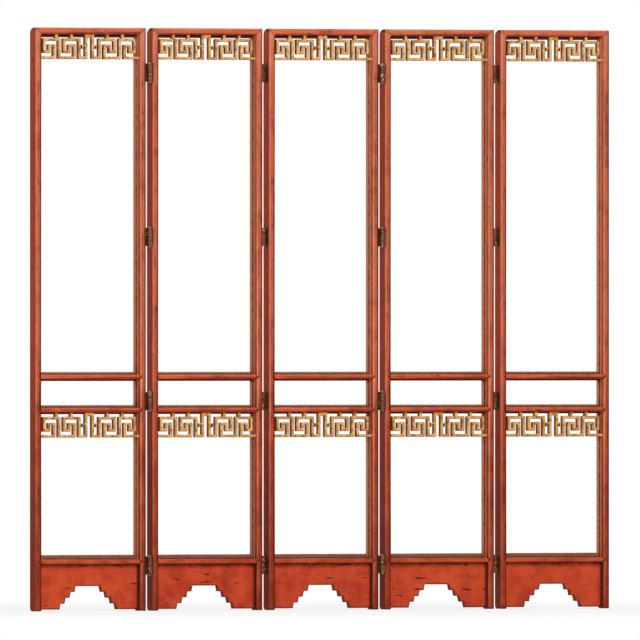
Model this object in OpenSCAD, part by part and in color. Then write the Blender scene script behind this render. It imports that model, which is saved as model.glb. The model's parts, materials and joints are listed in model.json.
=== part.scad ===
// Folding screen of five hinged panels: mitred red lacquer frames with gilt key frets.
// X runs along the open screen, Y from front (-) to back (+), Z up from the floor.
// The origin is on the floor, under the middle of the box that holds the open screen.

/* [Screen] */
// Height from the floor to the top edge
screen_h = 1830; // [1650:10:2000]
// Number of panels
panel_count = 5; // [2:1:6]
// Width of one panel
panel_w = 394; // [380:2:460]
// Thickness of a panel, front to back
frame_t = 38; // [36:1:44]
// Gap between the edges of neighbouring panels
panel_gap = 24; // [20:1:28]

/* [Frame] */
// Width of a stile and height of the top rail, seen from the front
stile_w = 21; // [20:0.5:26]
// Height of a middle or bottom rail, seen from the front
rail_h = 15.5; // [14:0.5:20]
// Underside of the bottom rail above the floor
bottom_rail_z = 146; // [130:1:180]
// Underside of the lower middle rail above the floor
lower_mid_z = 622; // [560:1:680]
// Underside of the upper middle rail above the floor
upper_mid_z = 726; // [700:1:800]
// Radius of the slight crown across the front faces
crown_r = 60; // [50:5:120]
// Depth, front to back, of the rounded upper corner at the back
top_round_d = 31; // [10:1:32]
// Height of the rounded upper corner at the back
top_round_h = 19; // [8:1:24]
// Depth, front to back, of the rounded heel of a foot
heel_d = 12; // [6:1:14]
// Height of the rounded heel of a foot
heel_h = 16; // [6:1:24]

/* [Rebate] */
// Depth of the rebate behind the front face
rebate_d = 22; // [18:1:26]
// Width of the lip round each light, at its front edge
lip_w = 4.5; // [3:0.5:6]
// Height of the sloped lip under the top rail, at the back
top_head_h = 10; // [5:0.5:12]
// Height of the sloped lip on the middle rails, at the back
mid_sill_h = 9; // [5:0.5:12]
// Height of the sloped lip on the bottom rail, at the back
bottom_sill_h = 15; // [6:0.5:18]

/* [Joinery] */
// Depth, front to back, of the pointed shoulders
shoulder_t = 12; // [8:1:14]
// Thickness of the tenons, front to back
tenon_t = 9; // [6:1:10]
// Length of the tenons
tenon_l = 11; // [8:1:12]
// Length of the stub tenons of frets and aprons
stub_l = 3.5; // [2:0.5:5]

/* [Key fret] */
// Face width of the fret's bars
bar_w = 9; // [7:0.5:9]
// Thickness of the fret, front to back
fret_t = 16; // [10:1:16]
// Drop from the rail to the fret's first bar
tab_drop = 12.5; // [8:0.5:15]
// Centre to centre of neighbouring upright bars in one spiral
bar_pitch = 18; // [17:0.5:18.5]
// Distance from the stile to the first upright bar
fret_inset = 9.5; // [6:0.5:10]
// Space between the two uprights at the middle of the fret
centre_gap = 15; // [10:0.5:16]
// Stroke of the small hook on each middle upright
hook_w = 4.5; // [3:0.5:5]

/* [Apron] */
// Setback of the apron behind the front face
apron_recess = 18; // [12:1:20]
// Thickness of the apron board
apron_t = 15; // [10:1:16]
// Lower edge of the apron above the floor
apron_z = 5; // [2:1:12]
// Height of the flat top of the arch above the floor
arch_top_z = 78; // [60:1:90]
// Half width of the flat top of the arch
arch_half_w = 48; // [36:1:60]
// Width of each step of the arch
step_w = 18; // [14:1:20]
// Number of steps on each side of the arch
step_count = 4; // [2:1:4]

/* [Hinges] */
// Number of hinges on each edge
hinge_count = 4; // [2:1:5]
// Height of the lowest hinge's middle above the floor
hinge_low_z = 142; // [130:1:180]
// Drop from the top edge to the highest hinge's middle
hinge_top_drop = 140; // [120:1:200]
// Height of a hinge
hinge_h = 58; // [50:1:70]
// Radius of the hinge barrel
barrel_r = 6.5; // [5.5:0.5:7]
// Radius of the hinge pin
pin_r = 3; // [2.5:0.25:3.5]
// Thickness of the hinge plate
leaf_t = 2.5; // [2:0.25:3]
// Width of the plate let into the edge of the stile
leaf_w = 26; // [22:1:28]
// Distance of the hinge axis in front of or behind the panel's face
axis_out = 1.5; // [1:0.25:3]

/* [Hidden] */
$fn = 48;

lacquer = [0.75, 0.30, 0.20];
lacquer_dark = [0.70, 0.26, 0.17];
gilt = [0.89, 0.66, 0.38];
bronze = [0.45, 0.36, 0.20];

front_y = -frame_t / 2;
back_y = frame_t / 2;
lip_y = front_y + rebate_d;
pitch = panel_w + panel_gap;
screen_w = panel_count * panel_w + (panel_count - 1) * panel_gap;
clear_w = panel_w - 2 * stile_w;
top_rail_z = screen_h - stile_w;
eps = 0.01;

// Each light as [lowest, highest] edge between two rails
lights = [
    [bottom_rail_z + rail_h, lower_mid_z],
    [lower_mid_z + rail_h, upper_mid_z],
    [upper_mid_z + rail_h, top_rail_z]
];
// Undersides of the three rails with pointed shoulders
shouldered_rails = [bottom_rail_z, lower_mid_z, upper_mid_z];
// Undersides of the two rails that carry a fret
fret_rails = [top_rail_z, lower_mid_z];

// Joinery, front to back
tenon_y = front_y + shoulder_t + 3;
tenon_cheek = 2.5;
fret_y = lip_y - fret_t;
fret_stub_y = fret_y + 5;
fret_stub_t = 6;
fret_stub_h = 5;
apron_y = front_y + apron_recess;
tongue_t = 7;
tongue_y = apron_y + (apron_t - tongue_t) / 2;
tongue_inset = 6;

// Key fret: left edges of the uprights of one half, and the rows of bars below the rail
key_bars = 4;
row_gap = 9.5;
middle_row_gap = 10.5;
rows = [
    tab_drop,
    tab_drop + bar_w + row_gap,
    tab_drop + 2 * bar_w + row_gap + middle_row_gap,
    tab_drop + 3 * bar_w + 2 * row_gap + middle_row_gap
];
fret_h = rows[3] + bar_w;
tab_w = 10;
tab_insets = [43.5, 97.5];
hook_reach = 10.5;
hook_drop = 13;

// Hinges
pin_play = 0.05;
knuckle_count = 5;
knuckle_play = 0.4;
flange_y = 8.5;
flange_play = 0.25;
leaf_y = 4;
arm_t = 2.75;
head_r = 3.6;
head_h = 2.2;
shank_r = 1.75;
screw_l = 12;
screw_count = 3;
screw_pitch = 19;
screw_y = leaf_y + leaf_w - 9.5;
finial_r = 4.6;
finial_h = 4;
axis_y = frame_t / 2 + axis_out;
hinge_pitch = (screen_h - hinge_top_drop - hinge_low_z) / (hinge_count - 1);

function panel_x(panel) = -screen_w / 2 + (panel - 1) * pitch;
function gap_x(edge) = panel_x(edge) + panel_w + panel_gap / 2;
function panel_node(panel, part) = str("panel_", panel, "_", part);
function hinge_node(edge, part) = str("hinge_", edge, edge + 1, "_", part);
function upright_x(bar) = fret_inset + (bar - 1) * bar_pitch;
function middle_upright_x() = (clear_w - centre_gap) / 2 - bar_w;
// -1 where the barrel stands in front of the screen, 1 where it stands behind
function barrel_side(edge) = edge % 2 == 1 ? -1 : 1;
function flat(lists) = [for (list = lists) for (item = list) item];

panel_parts = [
    "left_stile", "right_stile", "top_rail", "mid_rails", "bottom_rail",
    "apron", "upper_fret", "lower_fret", "hinge_screws"
];
hinge_parts = ["left_leaves", "right_leaves", "pins"];

// ---- Helpers ----

// Sweeps a front view outline (X, Z) from one depth to another
module front_view(from_y, to_y) {
    translate([0, to_y, 0])
        rotate([90, 0, 0])
            linear_extrude(to_y - from_y)
                children();
}

// Sweeps a section (Y, Z) along X
module section_along_x(from_x, to_x) {
    translate([from_x, 0, 0])
        rotate([90, 0, 90])
            linear_extrude(to_x - from_x)
                children();
}

// A box between two corners
module box(low, high) {
    translate(low)
        cube(high - low);
}

// Repeats its children at both ends of the panel, the second time mirrored
module both_ends() {
    children();
    translate([panel_w, 0, 0])
        mirror([1, 0, 0])
            children();
}

// Repeats its children at the height of each hinge
module each_hinge() {
    for (index = [0 : hinge_count - 1])
        translate([0, 0, hinge_low_z + index * hinge_pitch])
            children();
}

// Points on a quarter of an ellipse about a centre, from one angle to the next quarter
function quarter(centre, radii, from_angle) = [
    for (step = [0 : 10])
        let (angle = from_angle - step * 9)
            centre + [radii[0] * cos(angle), radii[1] * sin(angle)]
];

// Side view of a panel (Y, Z), with its rounded top and heel at the back
module side_view() {
    top_corner = quarter([back_y - top_round_d, screen_h - top_round_h], [top_round_d, top_round_h], 90);
    heel_corner = quarter([back_y - heel_d, heel_h], [heel_d, heel_h], 0);
    polygon(concat([[front_y, 0], [front_y, screen_h]], top_corner, heel_corner));
}

// ---- Frame ----

// An upright bar with a crowned front, in the left stile's place
module crowned_upright() {
    intersection() {
        box([0, front_y, 0], [stile_w, back_y, screen_h]);
        translate([stile_w / 2, front_y + crown_r, 0])
            cylinder(r = crown_r, h = screen_h, $fn = 180);
    }
}

// A level bar with a crowned front, between two places along the panel
module crowned_level(from_x, to_x, low_z, height) {
    intersection() {
        box([from_x, front_y, low_z], [to_x, back_y, low_z + height]);
        translate([from_x, front_y + crown_r, low_z + height / 2])
            rotate([0, 90, 0])
                cylinder(r = crown_r, h = to_x - from_x, $fn = 180);
    }
}

// Front view of a shouldered rail: each end comes to a point in the stile's face
module shoulder_outline(low_z) {
    point = rail_h / 2;
    polygon([
        [stile_w, low_z],
        [stile_w - point, low_z + point],
        [stile_w, low_z + rail_h],
        [panel_w - stile_w, low_z + rail_h],
        [panel_w - stile_w + point, low_z + point],
        [panel_w - stile_w, low_z]
    ]);
}

// Tenon at the left end of a shouldered rail
module rail_tenon(low_z) {
    box(
        [stile_w - tenon_l, tenon_y, low_z + tenon_cheek],
        [stile_w, tenon_y + tenon_t, low_z + rail_h - tenon_cheek]
    );
}

// Hidden tenon of the top rail's mitre, at the left corner
module mitre_tenon() {
    box([stile_w / 3, tenon_y, top_rail_z + 3], [stile_w, tenon_y + tenon_t, top_rail_z + stile_w / 2]);
}

// Sloped lip along a rail, mitred into the stiles' lips; side is 1 above the rail and -1 below it
module rail_lip(edge_z, back_h, side) {
    translate([0, 0, edge_z])
        mirror([0, 0, side > 0 ? 0 : 1])
            intersection() {
                section_along_x(stile_w, panel_w - stile_w)
                    polygon([[lip_y, 0], [lip_y, lip_w], [back_y, back_h], [back_y, 0]]);
                front_view(lip_y, back_y)
                    polygon([
                        [stile_w, 0],
                        [stile_w + lip_w, lip_w],
                        [stile_w + lip_w, back_h],
                        [panel_w - stile_w - lip_w, back_h],
                        [panel_w - stile_w - lip_w, lip_w],
                        [panel_w - stile_w, 0]
                    ]);
            }
}

// Lip of the left stile beside each light, with mitred ends
module stile_lips() {
    for (light = lights)
        front_view(lip_y, back_y)
            polygon([
                [stile_w - eps, light[0]],
                [stile_w, light[0]],
                [stile_w + lip_w, light[0] + lip_w],
                [stile_w + lip_w, light[1] - lip_w],
                [stile_w, light[1]],
                [stile_w - eps, light[1]]
            ]);
}

// Stub tenons of a fret's lowest bar, at the left end
module fret_end_stub(rail_z) {
    middle_z = rail_z - rows[3] - bar_w / 2;
    box(
        [stile_w - stub_l, fret_stub_y, middle_z - fret_stub_h / 2],
        [stile_w, fret_stub_y + fret_stub_t, middle_z + fret_stub_h / 2]
    );
}

// Stub tenons of a fret's tabs, up into the rail, for the left half
module fret_tab_stubs(rail_z) {
    for (inset = tab_insets)
        let (middle_x = stile_w + inset + tab_w / 2 + fret_inset)
            box(
                [middle_x - fret_stub_h / 2, fret_stub_y, rail_z],
                [middle_x + fret_stub_h / 2, fret_stub_y + fret_stub_t, rail_z + stub_l]
            );
}

// Tongue at the apron's left edge
module apron_side_tongue() {
    box([stile_w - stub_l, tongue_y, apron_z + tongue_inset], [stile_w, tongue_y + tongue_t, bottom_rail_z]);
}

// Tongue along the apron's upper edge
module apron_top_tongue() {
    box(
        [stile_w + tongue_inset, tongue_y, bottom_rail_z],
        [panel_w - stile_w - tongue_inset, tongue_y + tongue_t, bottom_rail_z + stub_l]
    );
}

// Recesses for the plates and screws of one edge's hinges, in the left stile's place
module hinge_recesses(side) {
    each_hinge()
        translate([-panel_gap / 2, side * axis_y, 0])
            mirror([0, side > 0 ? 1 : 0, 0]) {
                leaf_plate();
                leaf_screws(shank_r);
            }
}

// Left stile; side is where the hinges' barrels stand, or 0 on a free edge
module left_stile(side) {
    difference() {
        intersection() {
            union() {
                crowned_upright();
                stile_lips();
            }
            section_along_x(-1, stile_w + lip_w + 1)
                side_view();
            front_view(front_y - 1, back_y + 1)
                polygon([
                    [0, 0],
                    [stile_w + lip_w, 0],
                    [stile_w + lip_w, top_rail_z - lip_w],
                    [0, screen_h]
                ]);
        }
        for (rail_z = shouldered_rails) {
            front_view(front_y - 1, front_y + shoulder_t)
                shoulder_outline(rail_z);
            rail_tenon(rail_z);
        }
        for (rail_z = fret_rails)
            fret_end_stub(rail_z);
        mitre_tenon();
        apron_side_tongue();
        if (side != 0)
            hinge_recesses(side);
    }
}

// Right stile, the mirror image of a left one
module right_stile(side) {
    translate([panel_w, 0, 0])
        mirror([1, 0, 0])
            left_stile(side);
}

// Top rail, mitred at both corners
module top_rail() {
    difference() {
        union() {
            intersection() {
                crowned_level(0, panel_w, top_rail_z, stile_w);
                section_along_x(-1, panel_w + 1)
                    side_view();
                front_view(front_y - 1, back_y + 1)
                    polygon([
                        [0, screen_h],
                        [panel_w, screen_h],
                        [panel_w - stile_w, top_rail_z],
                        [stile_w, top_rail_z]
                    ]);
            }
            rail_lip(top_rail_z, top_head_h, -1);
            both_ends()
                mitre_tenon();
        }
        both_ends()
            fret_tab_stubs(top_rail_z);
    }
}

// One rail with pointed shoulders, tenons and a lip on each given side
module shouldered_rail(low_z, sill_h, head_h) {
    intersection() {
        crowned_level(stile_w - rail_h / 2, panel_w - stile_w + rail_h / 2, low_z, rail_h);
        union() {
            front_view(front_y - 1, front_y + shoulder_t)
                shoulder_outline(low_z);
            box([stile_w, front_y, low_z], [panel_w - stile_w, back_y, low_z + rail_h]);
        }
    }
    both_ends()
        rail_tenon(low_z);
    rail_lip(low_z + rail_h, sill_h, 1);
    if (head_h > 0)
        rail_lip(low_z, head_h, -1);
}

// The two middle rails; the lower one carries a fret
module mid_rails() {
    shouldered_rail(upper_mid_z, mid_sill_h, lip_w);
    difference() {
        shouldered_rail(lower_mid_z, mid_sill_h, lip_w);
        both_ends()
            fret_tab_stubs(lower_mid_z);
    }
}

// Bottom rail, grooved underneath for the apron
module bottom_rail() {
    difference() {
        shouldered_rail(bottom_rail_z, bottom_sill_h, 0);
        apron_top_tongue();
    }
}

// ---- Apron ----

// Outline of the opening under the arch, as one half to the right of the middle
function arch_points() = let (
    rise = (arch_top_z - apron_z) / step_count,
    lean = 4
) flat([
    for (step = [0 : step_count - 1])
        let (near_x = arch_half_w + step * step_w, top_z = arch_top_z - step * rise)
            [[near_x - lean, top_z], [near_x, top_z - rise]]
]);

// Stepped arch with softened corners
module arch() {
    half = arch_points();
    foot = [arch_half_w + step_count * step_w - step_w, apron_z - 20];
    offset(r = 1.5, $fn = 16)
        offset(r = -3, $fn = 16)
            offset(r = 1.5, $fn = 16)
                polygon(concat(
                    half,
                    [foot, [-foot[0], foot[1]]],
                    [for (index = [len(half) - 1 : -1 : 0]) [-half[index][0], half[index][1]]]
                ));
}

// Apron board under the bottom rail, tongued into the rail and the stiles
module apron() {
    difference() {
        box([stile_w, apron_y, apron_z], [panel_w - stile_w, apron_y + apron_t, bottom_rail_z]);
        translate([panel_w / 2, 0, 0])
            front_view(apron_y - 1, apron_y + apron_t + 1)
                arch();
    }
    both_ends()
        apron_side_tongue();
    apron_top_tongue();
}

// ---- Key fret ----

// A level bar of the fret in a row, covering the uprights at both its ends
module fret_level(row, from_x, to_x) {
    translate([from_x, -rows[row] - bar_w])
        square([to_x - from_x + bar_w, bar_w]);
}

// An upright of the fret between two rows, covering the bars at both its ends
module fret_upright(x, upper_row, lower_row) {
    translate([x, -rows[lower_row] - bar_w])
        square([bar_w, rows[lower_row] - rows[upper_row] + bar_w]);
}

// One square spiral; first is the number of its outer upright
module key_spiral(first) {
    outer = upright_x(first);
    inner = upright_x(first + 1);
    riser = upright_x(first + 2);
    fall = upright_x(first + 3);
    fret_level(0, outer, fall);
    fret_upright(outer, 0, 2);
    fret_level(2, outer, inner);
    fret_upright(inner, 1, 2);
    fret_level(1, inner, riser);
    fret_upright(riser, 1, 3);
    fret_upright(fall, 0, 3);
}

// Small hook on the outer side of the middle upright
module fret_hook() {
    hook_x = middle_upright_x() - hook_reach;
    translate([hook_x, -rows[1] - hook_w - 2])
        square([hook_reach + eps, hook_w]);
    translate([hook_x, -rows[1] - hook_drop - 2])
        square([hook_w, hook_drop]);
}

// Left half of the fret, from the stile to the middle
module half_fret() {
    middle_x = middle_upright_x();
    for (first = [1, 1 + key_bars])
        key_spiral(first);
    fret_level(3, 0, upright_x(3));
    fret_level(3, upright_x(4), upright_x(7));
    fret_level(3, upright_x(8), middle_x);
    for (inset = tab_insets)
        translate([fret_inset + inset, -tab_drop - eps])
            square([tab_w, tab_drop + eps]);
    translate([middle_x, -fret_h])
        square([bar_w, fret_h]);
    translate([middle_x, -tab_drop + 1.5])
        square([clear_w / 2 - middle_x + eps, tab_drop - 1.5]);
    fret_hook();
}

// Fret below the rail at the given height, stub tenoned into the stiles and the rail
module key_fret(rail_z) {
    front_view(fret_y, fret_y + fret_t)
        translate([stile_w, rail_z]) {
            half_fret();
            translate([clear_w, 0])
                mirror([1, 0])
                    half_fret();
        }
    both_ends() {
        fret_end_stub(rail_z);
        fret_tab_stubs(rail_z);
    }
}

// ---- Hinges, about an axis at the origin, with the right-hand panel at +X and the barrel in front ----

// The plate let into the stile's edge
module leaf_plate() {
    box(
        [panel_gap / 2, leaf_y, -hinge_h / 2],
        [panel_gap / 2 + leaf_t, leaf_y + leaf_w, hinge_h / 2]
    );
}

// Screws through the plate; pilot is the radius of their shanks
module leaf_screws(pilot) {
    for (index = [0 : screw_count - 1])
        translate([panel_gap / 2, screw_y, (index - (screw_count - 1) / 2) * screw_pitch])
            rotate([0, 90, 0]) {
                cylinder(r1 = head_r, r2 = pilot, h = head_h);
                cylinder(r = pilot, h = screw_l);
            }
}

// Knuckles of one leaf, from the given place in the barrel on, with the arms that carry them
module knuckles(first) {
    knuckle_h = hinge_h / knuckle_count;
    for (index = [first : 2 : knuckle_count - 1])
        translate([0, 0, -hinge_h / 2 + index * knuckle_h + knuckle_play / 2]) {
            cylinder(r = barrel_r, h = knuckle_h - knuckle_play);
            box([flange_play, leaf_y, 0], [arm_t, flange_y + eps, knuckle_h - knuckle_play]);
        }
}

// One leaf: the plate, a flange that closes half the gap, and the knuckles
module leaf(first) {
    difference() {
        union() {
            leaf_plate();
            box(
                [flange_play, flange_y, -hinge_h / 2],
                [panel_gap / 2 + eps, flange_y + leaf_t, hinge_h / 2]
            );
            knuckles(first);
        }
        cylinder(r = pin_r + pin_play, h = hinge_h + 2, center = true);
        leaf_screws(shank_r);
    }
}

// The pin, with a turned finial at each end
module pin() {
    cylinder(r = pin_r, h = hinge_h, center = true);
    for (end = [0, 1])
        mirror([0, 0, end])
            translate([0, 0, hinge_h / 2]) {
                cylinder(r = finial_r, h = finial_h / 2);
                translate([0, 0, finial_h / 2])
                    cylinder(r1 = finial_r * 0.8, r2 = finial_r * 0.35, h = finial_h / 2);
            }
}

// Places one hinge piece, made for the right-hand panel, at every hinge of an edge
module at_hinges(edge, left_hand) {
    translate([gap_x(edge), barrel_side(edge) * axis_y, 0])
        mirror([0, barrel_side(edge) > 0 ? 1 : 0, 0])
            mirror([left_hand ? 1 : 0, 0, 0])
                each_hinge()
                    children();
}

// All screws that are driven into one panel
module hinge_screws(panel) {
    if (panel > 1)
        at_hinges(panel - 1, false)
            leaf_screws(shank_r);
    if (panel < panel_count)
        at_hinges(panel, true)
            leaf_screws(shank_r);
}

// ---- Assembly ----

// One named part of a panel, in the panel's own place
module panel_part(panel, part) {
    left_side = panel > 1 ? barrel_side(panel - 1) : 0;
    right_side = panel < panel_count ? barrel_side(panel) : 0;
    translate([panel_x(panel), 0, 0]) {
        color(lacquer) {
            if (part == "left_stile") left_stile(left_side);
            if (part == "right_stile") right_stile(right_side);
            if (part == "top_rail") top_rail();
            if (part == "mid_rails") mid_rails();
            if (part == "bottom_rail") bottom_rail();
        }
        color(lacquer_dark)
            if (part == "apron") apron();
        color(gilt) {
            if (part == "upper_fret") key_fret(top_rail_z);
            if (part == "lower_fret") key_fret(lower_mid_z);
        }
    }
    color(bronze)
        if (part == "hinge_screws") hinge_screws(panel);
}

// One named part of the hinges between a panel and the next
module hinge_part(edge, part) {
    color(bronze) {
        if (part == "left_leaves") at_hinges(edge, true) leaf(1);
        if (part == "right_leaves") at_hinges(edge, false) leaf(0);
        if (part == "pins") at_hinges(edge, false) pin();
    }
}

for (panel = [1 : panel_count])
    for (part = panel_parts)
        panel_part(panel, part);

for (edge = [1 : panel_count - 1])
    for (part = hinge_parts)
        hinge_part(edge, part);
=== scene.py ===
"""Dresses the five-panel folding screen: worn red lacquer, carved gilt key frets and aged bronze hinges.

The frame brings every piece at its real place. Each wooden piece and hinge leaf is copied from it, merged and
given the softened arrises of hand work, and then stands for the plain one. Pins and screws are made anew.
"""
import json
import logging
import math
import random
from dataclasses import dataclass, field
from enum import Enum, IntEnum
from functools import cache, cached_property, partial, reduce
from typing import Iterable

import bmesh
import bpy
from bmesh.types import BMEdge, BMesh, BMFace, BMVert
from mathutils import Matrix, Vector

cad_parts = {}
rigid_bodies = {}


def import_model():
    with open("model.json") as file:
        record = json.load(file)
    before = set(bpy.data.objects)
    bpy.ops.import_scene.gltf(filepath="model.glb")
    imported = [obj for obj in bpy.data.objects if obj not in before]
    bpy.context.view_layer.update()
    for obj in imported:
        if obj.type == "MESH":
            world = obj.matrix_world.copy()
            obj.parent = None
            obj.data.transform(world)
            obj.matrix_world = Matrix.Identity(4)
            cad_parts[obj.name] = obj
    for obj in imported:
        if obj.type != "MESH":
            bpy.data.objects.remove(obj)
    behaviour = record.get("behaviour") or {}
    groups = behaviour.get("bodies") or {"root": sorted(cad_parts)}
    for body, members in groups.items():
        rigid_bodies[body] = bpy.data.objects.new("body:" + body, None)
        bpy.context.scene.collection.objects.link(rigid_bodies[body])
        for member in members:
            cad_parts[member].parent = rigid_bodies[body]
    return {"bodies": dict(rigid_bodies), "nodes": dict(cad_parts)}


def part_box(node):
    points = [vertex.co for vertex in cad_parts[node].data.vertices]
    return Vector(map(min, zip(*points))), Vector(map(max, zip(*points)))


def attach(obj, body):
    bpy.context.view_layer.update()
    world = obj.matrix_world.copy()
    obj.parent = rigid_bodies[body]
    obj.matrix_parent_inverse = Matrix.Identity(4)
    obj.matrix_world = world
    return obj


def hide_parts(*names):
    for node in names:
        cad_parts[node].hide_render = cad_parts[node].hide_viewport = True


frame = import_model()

Colour = tuple[float, float, float, float]
Triple = tuple[float, float, float]
Socket = bpy.types.NodeSocket
Sockets = dict[str, Socket]

LOG = logging.getLogger("folding_screen")
MM = 0.001
LEFT_STILE, RIGHT_STILE, NEXT_STILE = (
    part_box(name) for name in ("panel_1_left_stile", "panel_1_right_stile", "panel_2_left_stile")
)
DECIMALS = 5  # Measures from the frame are rounded to a hundredth of a millimetre.
SCREEN_LEFT = round(LEFT_STILE[0].x, DECIMALS)
SCREEN_TOP = round(LEFT_STILE[1].z, DECIMALS)
PANEL_WIDTH = round(RIGHT_STILE[1].x - SCREEN_LEFT, DECIMALS)
PANEL_PITCH = round(NEXT_STILE[0].x - SCREEN_LEFT, DECIMALS)
SLACK = 0.1 * MM  # How far off its reckoned place a vertex may lie.
HAIR = 0.001 * MM  # Places that are nearer than this are the same.
FLAT_ANGLE = math.radians(0.5)
SHARP_ANGLE = math.radians(38)
WHITE = (1.0, 1.0, 1.0, 1.0)
NOWHERE = (0.0, 0.0, 0.0)
EVEN = (1.0, 1.0, 1.0)
RIGHTWARD, BACKWARD, UPWARD = (1.0, 0.0, 0.0), (0.0, 1.0, 0.0), (0.0, 0.0, 1.0)


def tone(red: int, green: int, blue: int) -> Colour:
    """Turns a paint chip's display values, 0 to 255, into the linear colour that shaders use.

    Args:
        red: red value of the chip.
        green: green value of the chip.
        blue: blue value of the chip.

    Returns:
        Linear red, green, blue and an alpha of one.
    """
    def linear(value: int) -> float:
        """Removes the display curve from one channel."""
        share = value / 255
        return share / 12.92 if share <= 0.04045 else ((share + 0.055) / 1.055) ** 2.4

    return linear(red), linear(green), linear(blue), 1.0


class Axis(IntEnum):
    """The frame's axes: across the screen, front to back, and up."""

    X = 0
    Y = 1
    Z = 2


class Slot(Enum):
    """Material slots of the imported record."""

    LACQUER = "red_lacquer"
    GILDING = "gilding"
    BRONZE = "aged_bronze"
    PIN = "pin_bronze"
    SCREW = "screw_bronze"


class Grain(Enum):
    """Which way the wood's grain runs, as how far a pattern is squeezed along X, Y and Z."""

    UPRIGHT = (1.0, 1.0, 0.035)
    LEVEL = (0.035, 1.0, 1.0)


# ---- Shader graphs ----


@dataclass(frozen=True)
class Band:
    """A smooth change from 0 at its start to its top at its end, which may be lower than the start."""

    start: float
    end: float
    top: float = 1.0

    def reaching(self, top: float) -> "Band":
        """The same change, up to another top."""
        return Band(self.start, self.end, top)


def outputs_of(node: bpy.types.Node) -> Sockets:
    """A node's outputs by name."""
    return {socket.name: socket for socket in node.outputs}


class Graph:
    """Adds nodes to one node tree and joins them."""

    def __init__(self, tree: bpy.types.NodeTree) -> None:
        """Starts on a tree, which keeps any nodes that it has."""
        self.tree = tree

    def add(self, kind: str, inputs: dict | None = None, **settings: object) -> bpy.types.Node:
        """Adds a node.

        Args:
            kind: the node's type, without its "ShaderNode" prefix.
            inputs: values or sockets for its inputs, by name or number.
            settings: the node's own properties.

        Returns:
            The new node.
        """
        node = self.tree.nodes.new("ShaderNode" + kind)
        for name, value in settings.items():
            setattr(node, name, value)
        for name, value in (inputs or {}).items():
            self.feed(node.inputs[name], value)
        return node

    def feed(self, socket: Socket, value: object) -> None:
        """Sets an input, or joins it when the value is another node's output.

        Args:
            socket: the input.
            value: a plain value or an output.
        """
        if isinstance(value, Socket):
            self.tree.links.new(value, socket)
        else:
            socket.default_value = value

    def effect(self, tree: bpy.types.NodeTree, inputs: dict | None = None) -> Sockets:
        """Places a shared effect, and gives its outputs by name."""
        return outputs_of(self.add("Group", inputs, node_tree=tree))

    def parts(self, vector: Socket) -> Sockets:
        """Splits a vector into X, Y and Z."""
        return outputs_of(self.add("SeparateXYZ", {0: vector}))

    def scaled(self, vector: Socket, factors: object) -> Socket:
        """Multiplies a vector by another, part by part."""
        return self.add("VectorMath", {0: vector, 1: factors}, operation="MULTIPLY").outputs[0]

    def maths(self, operation: str, *values: object, clamp: bool = False) -> Socket:
        """Works out one number from up to three, by the name of a Math node's operation."""
        inputs = dict(enumerate(values))
        return self.add("Math", inputs, operation=operation, use_clamp=clamp).outputs[0]

    def times(self, first: Socket, *others: object) -> Socket:
        """Multiplies a socket by numbers or sockets."""
        return reduce(partial(self.maths, "MULTIPLY"), others, first)

    def plus(self, base: object, value: Socket, share: float = 1.0, clamp: bool = False) -> Socket:
        """Adds a share of a value to a base."""
        return self.maths("MULTIPLY_ADD", value, share, base, clamp=clamp)

    def stir(self, value: Socket, pattern: Socket, share: float) -> Socket:
        """Makes a value uneven, both ways, by a share of a pattern round a half."""
        return self.plus(value, self.maths("SUBTRACT", pattern, 0.5), share)

    def rise(self, value: Socket, band: Band, share: float = 1.0) -> Socket:
        """Follows a band as a value goes through it.

        Args:
            value: the socket to follow.
            band: where the change starts and ends, and its top.
            share: how much of the band's top is reached.

        Returns:
            The socket that holds the answer.
        """
        low, high = band.start, band.end
        if low > high:
            value, low, high = self.times(value, -1.0), -low, -high
        inputs = {"Value": value, "From Min": low, "From Max": high, "To Max": band.top * share}
        return self.add("MapRange", inputs, interpolation_type="SMOOTHSTEP").outputs["Result"]

    def noise(self, vector: Socket, scale: float, detail: float = 3.0, rough: float = 0.55) -> Socket:
        """A cloudy pattern round a half, by its clouds to the metre, its finer layers and their strength."""
        inputs = {"Vector": vector, "Scale": scale, "Detail": detail, "Roughness": rough}
        return self.add("TexNoise", inputs).outputs["Fac"]

    def enclosure(self, reach: Socket, inside: bool, samples: int = 8) -> Socket:
        """Tells how closely the piece's own faces shut a place in.

        Args:
            reach: how far it looks, in metres.
            inside: whether it looks into the piece, which finds arrises, and not away from it.
            samples: how many rays it sends.

        Returns:
            The socket that holds the share, from 0 to 1.
        """
        settings = {"samples": samples, "inside": inside, "only_local": True}
        open_share = self.add("AmbientOcclusion", {"Distance": reach}, **settings).outputs["AO"]
        return self.maths("SUBTRACT", 1.0, open_share, clamp=True)

    def blend(self, share: object, low: object, high: object) -> Socket:
        """Mixes two colours.

        Args:
            share: how much of the second colour there is.
            low: colour at a share of 0.
            high: colour at a share of 1.

        Returns:
            The socket with the mixed colour.
        """
        node = self.add("Mix", data_type="RGBA")
        self.feed(node.inputs["Factor"], share)
        self.feed(node.inputs["A"], low)
        self.feed(node.inputs["B"], high)
        return next(socket for socket in node.outputs if socket.type == "RGBA")


# ---- Shared effects, each a node group that is built once ----


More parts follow.
